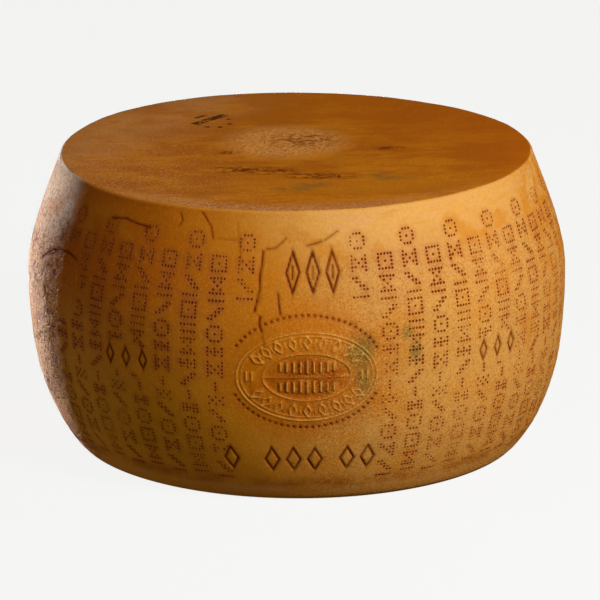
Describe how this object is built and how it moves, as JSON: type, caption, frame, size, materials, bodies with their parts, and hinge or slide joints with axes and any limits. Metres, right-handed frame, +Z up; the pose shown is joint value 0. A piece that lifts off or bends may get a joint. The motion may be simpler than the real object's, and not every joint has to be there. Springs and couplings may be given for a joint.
{
  "type": "wheel of hard aged cheese",
  "caption": "Whole drum-shaped wheel of hard aged cheese with a bellied side, flat faces, a pricked rind and an oval seal; stands on its flat face.",
  "frame": {"origin": "on the floor, under the middle of the wheel", "axes": "+Z up through the wheel from its bottom face to its top face, and -Y towards the oval seal"},
  "size_m": [0.4542, 0.4584, 0.2485],
  "materials": {
    "rind": "semi-gloss waxy golden rind, browner on the flat faces, with dark pricks and strokes"
  },
  "bodies": {
    "root": {"cheese_wheel": "rind"}
  },
  "joints": []
}
